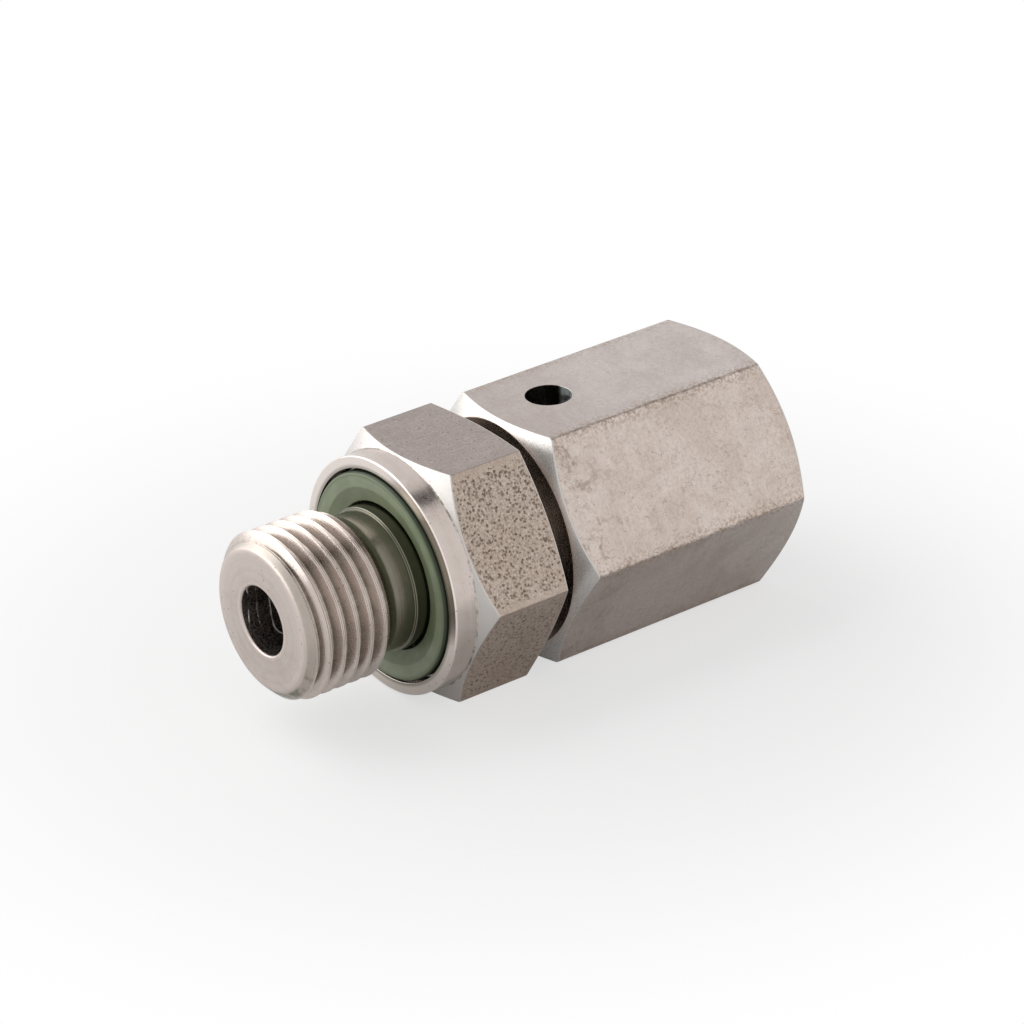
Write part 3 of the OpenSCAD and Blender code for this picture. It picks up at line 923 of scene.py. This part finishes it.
def seal_rubber():
    """Moulded green rubber with a faint bloom and a slight gloss, with painted shade: darker inside the fold, and
    a darker band and a near-black rim at its outer edge where shadow falls.
    """
    s = Shader("seal_rubber", Metallic=0.0, Specular_IOR_Level=0.42)
    place, _, radius = s.places()
    cloud = s.noise(place, 0.8, 4, 0.6, 0.3)
    grain = s.noise(place, 12.0, 3, 0.6)
    bloom = s.ramp(s.noise(place, 2.8, 4, 0.72), 0.56, 0.76)
    specks = s.ramp(s.noise(place, 5.5, 1.5, 0.5), 0.73, 0.79)
    tone = s.ramp(cloud, 0.3, 0.7)
    # Painted shade: the inner slope of the fold is darker than the outer one.
    inner = s.mix(tone, (0.152, 0.186, 0.102), (0.192, 0.226, 0.134))
    outer = s.mix(tone, (0.228, 0.272, 0.172), (0.288, 0.330, 0.222))
    colour = s.mix(s.ramp(radius, 5.08, 5.24), inner, outer)
    colour = s.tint(colour, (0.32, 0.36, 0.27), bloom, 0.30)
    colour = s.tint(colour, (0.07, 0.08, 0.05), specks, 0.5)
    # Painted shade and shadow towards the outer edge: a darker band, then a near-black rim.
    band = s.ramp(radius, SEAL_OUT_R - 0.36, SEAL_OUT_R - 0.14)
    colour = s.mix(band, colour, (0.168, 0.206, 0.122))
    rim = s.ramp(radius, SEAL_OUT_R - SEAL_BEVEL - 0.03, SEAL_OUT_R - 0.04)
    colour = s.mix(rim, colour, (0.032, 0.044, 0.022))
    return s.surface(colour, s.ramp(grain, 0.3, 0.7, 0.32, 0.48), s.plus(grain, cloud), 0.010, 0.4)


def ring_rubber():
    """Moulded black rubber."""
    s = Shader("ring_rubber", Metallic=0.0)
    place = s.places()[0]
    grain = s.noise(place, 10.0, 3, 0.6)
    cloud = s.noise(place, 1.2, 3, 0.6)
    dust = s.ramp(s.noise(place, 4.0, 4, 0.7), 0.6, 0.78)
    colour = s.mix(s.ramp(cloud, 0.3, 0.7), (0.012, 0.012, 0.013), (0.026, 0.026, 0.028))
    colour = s.tint(colour, (0.09, 0.09, 0.085), dust, 0.35)
    return s.surface(colour, s.ramp(grain, 0.3, 0.7, 0.34, 0.52), grain, 0.006, 0.4)


def wire_steel():
    """Drawn spring wire."""
    s = Shader("wire_steel", Metallic=1.0)
    place = s.places()[0]
    grain = s.noise(place, 12.0, 3, 0.6)
    cloud = s.noise(place, 1.0, 3, 0.6)
    colour = s.mix(s.ramp(cloud, 0.3, 0.7), (0.34, 0.33, 0.32), (0.46, 0.45, 0.43))
    return s.surface(colour, s.ramp(grain, 0.3, 0.7, 0.24, 0.38), grain, 0.006, 0.4)


# Pieces. Each hexagon's shares, from the top on, say how pitted the body's flats are and how tan, and how warm the
# nut's are; these tones per flat are painted light.

body = swept("body_turned", body_outline, *column_angles(BODY_CORNER_ROUND))
hook_hole = [(WIRE_RING_R - HOOK_DEPTH - 0.05, HOOK_HOLE_R), (WIRE_RING_R + 0.6, HOOK_HOLE_R)]
cut(body, drill("hook_cutter", hook_hole, (HOOK_LINE, X_AXIS, HOOK_ALONG, HOOK_OUT), steps=40))
smooth(body)
dress(body, body_flats(),
      turned("body_turned", (0.555, 0.480, 0.440), (0.625, 0.555, 0.515), 0.20, stud_painted_shade, stud_scuff, rings=0.8),
      painted_shade_steel("body_dark"))
flat_shares(body, [0.20, 1.0, 0.75, 0.5, 0.8, 0.6])
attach(body, "fitting_body")
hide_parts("body")

nut = swept("swivel_nut_hex", nut_outline, *column_angles(NUT_CORNER_ROUND))
feed_hole = [(FEED_HOLE_FROM, FEED_HOLE_R), (HALF_FLATS - 0.02, FEED_HOLE_R),
             (HALF_FLATS + 0.06, FEED_HOLE_R + 0.08)]
feed_start = Vector((WIRE_X + FEED_HOLE_BACK, FEED_HOLE_ASIDE, 0))
cut(nut, drill("feed_cutter", feed_hole, (feed_start, X_AXIS, Y_AXIS, Z_AXIS), steps=96, finish=HOLE))
smooth(nut)
dress(nut, nut_flats(), turned("nut_turned", (0.54, 0.485, 0.45), (0.61, 0.56, 0.53), 0.28, dirt=0.42),
      painted_shade_steel("nut_dark"), hole_wall())
flat_shares(nut, [0.0, 1.0, 0.35, 0.6, 0.3, 0.7])
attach(nut, "nut")
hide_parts("swivel_nut")

seal = swept("profile_seal_ring", seal_outline, ROUND_COLUMNS)
smooth(seal)
dress(seal, seal_rubber())
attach(seal, "fitting_body")
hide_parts("profile_seal")

ring = swept("cone_ring", ring_outline, ROUND_COLUMNS)
smooth(ring)
dress(ring, ring_rubber())
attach(ring, "fitting_body")
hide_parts("cone_o_ring")

wire = tube("retaining_wire_bent", wire_path(), WIRE_R)
smooth(wire, 40)
dress(wire, wire_steel())
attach(wire, "fitting_body")
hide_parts("retaining_wire")


# Floor, light and camera, in metres where a name doesn't say otherwise

FLOOR_Z = CAD_BOX[0].z - 0.02 * MM
FLOOR_REACH = 3.0
FLOOR_MIDDLE = (0.008, 0.0, FLOOR_Z)
FLOOR_GREY = 0.86
NEAR_END, FAR_START = 0.018, 0.044
NEAR_FOR_CAMERA, NEAR_FOR_GLOSS = 0.62, 0.1
GREY_LIGHT = 0.56
WHITE = (1, 1, 1, 1)

OBJECT_MIDDLE_MM = (6, 0, 0)
CAMERA_LENS_MM, SENSOR_WIDTH_MM = 152.84, 36
CAMERA_NEAR = 0.01
# The camera's directions and place, fitted to the photograph
CAMERA_PLACE = (
    (0.79159603, 0.29688765, -0.53407252, -0.120953),
    (-0.61030061, 0.34102025, -0.71500934, -0.174182),
    (-0.0301479, 0.89194333, 0.45114099, 0.110812),
    (0, 0, 0, 1))


def seen_rays(s):
    """1 for rays from the camera, from gloss and through glass, otherwise 0."""
    path = s.node("ShaderNodeLightPath").outputs
    return s.most(path["Is Camera Ray"], path["Is Glossy Ray"], path["Is Transmission Ray"])


def floor_material():
    """Pale floor, which turns to plain white further out for the camera and for reflections."""
    s = Shader("floor_pale")
    s.tree.nodes.remove(s.bsdf)
    place = s.node("ShaderNodeNewGeometry").outputs["Position"]
    away = s.node("ShaderNodeVectorMath", place, FLOOR_MIDDLE, operation="SUBTRACT").outputs[0]
    distance = s.node("ShaderNodeVectorMath", away, operation="LENGTH").outputs["Value"]
    camera_ray = s.node("ShaderNodeLightPath").outputs["Is Camera Ray"]
    near = s.most(s.times(camera_ray, NEAR_FOR_CAMERA), NEAR_FOR_GLOSS)
    share = s.times(s.ramp(distance, NEAR_END, FAR_START, near, 1.0), seen_rays(s))
    plain = s.node("ShaderNodeBsdfDiffuse", (FLOOR_GREY, FLOOR_GREY, FLOOR_GREY, 1)).outputs[0]
    white = s.node("ShaderNodeEmission", WHITE).outputs[0]
    both = s.node("ShaderNodeMixShader", share, plain, white).outputs[0]
    s.put(both, s.tree.nodes["Material Output"].inputs["Surface"])
    return s.material


def plate(name, half_width, half_height, z, material):
    """Flat rectangle in metres."""
    mesh = bpy.data.meshes.new(name)
    mesh.from_pydata([(-half_width, -half_height, z), (half_width, -half_height, z), (half_width, half_height, z),
                      (-half_width, half_height, z)], [], [(0, 1, 2, 3)])
    mesh.materials.append(material)
    return linked(name, mesh)


def hidden_at(made, where, aim):
    """Puts a lamp or card at a place in millimetres, facing another one, and hides it from the camera."""
    here, there = Vector(where) * MM, Vector(aim) * MM
    made.matrix_world = Matrix.LocRotScale(here, (there - here).to_track_quat("-Z", "Y"), None)
    made.visible_camera = False


def lamp(name, where, size, radiance):
    """Soft rectangular lamp of a given brightness, in millimetres, aimed at the object."""
    data = bpy.data.lights.new(name, "AREA")
    data.shape = "RECTANGLE"
    data.size, data.size_y = size[0] * MM, size[1] * MM
    data.energy = radiance * math.pi * data.size * data.size_y
    hidden_at(linked(name, data), where, OBJECT_MIDDLE_MM)


def card(name, where, aim, size, grey):
    """Matt card, in millimetres, which the steel shows as the dark streak on the collar."""
    paint = Shader(name, Roughness=1.0, Specular_IOR_Level=0.0, Base_Color=(grey, grey, grey, 1))
    made = plate(name, size[0] / 2 * MM, size[1] / 2 * MM, 0, paint.material)
    hidden_at(made, where, aim)


floor = plate("floor", FLOOR_REACH, FLOOR_REACH, FLOOR_Z, floor_material())

world = bpy.data.worlds.new("studio")
bpy.context.scene.world = world
world.use_nodes = True
sky = Nodes(world.node_tree)
background = world.node_tree.nodes["Background"]
background.inputs["Color"].default_value = WHITE
sky.put(sky.ramp(seen_rays(sky), 0.0, 1.0, GREY_LIGHT, 1.0), background.inputs["Strength"])

lamp("box_left", where=(-180, 182, 62), size=(340, 130), radiance=1.65)
lamp("key", where=(-96, 192, 237), size=(300, 300), radiance=1.78)
card("card_over", where=(139, -16, 218), aim=(0, 0, 0), size=(66, 300), grey=0.04)

camera_data = bpy.data.cameras.new("camera")
camera_data.lens = CAMERA_LENS_MM
camera_data.sensor_width = SENSOR_WIDTH_MM
camera_data.clip_start = CAMERA_NEAR
camera = linked("camera", camera_data)
camera.matrix_world = Matrix(CAMERA_PLACE)
bpy.context.scene.camera = camera
bpy.context.scene.view_settings.view_transform = "Standard"
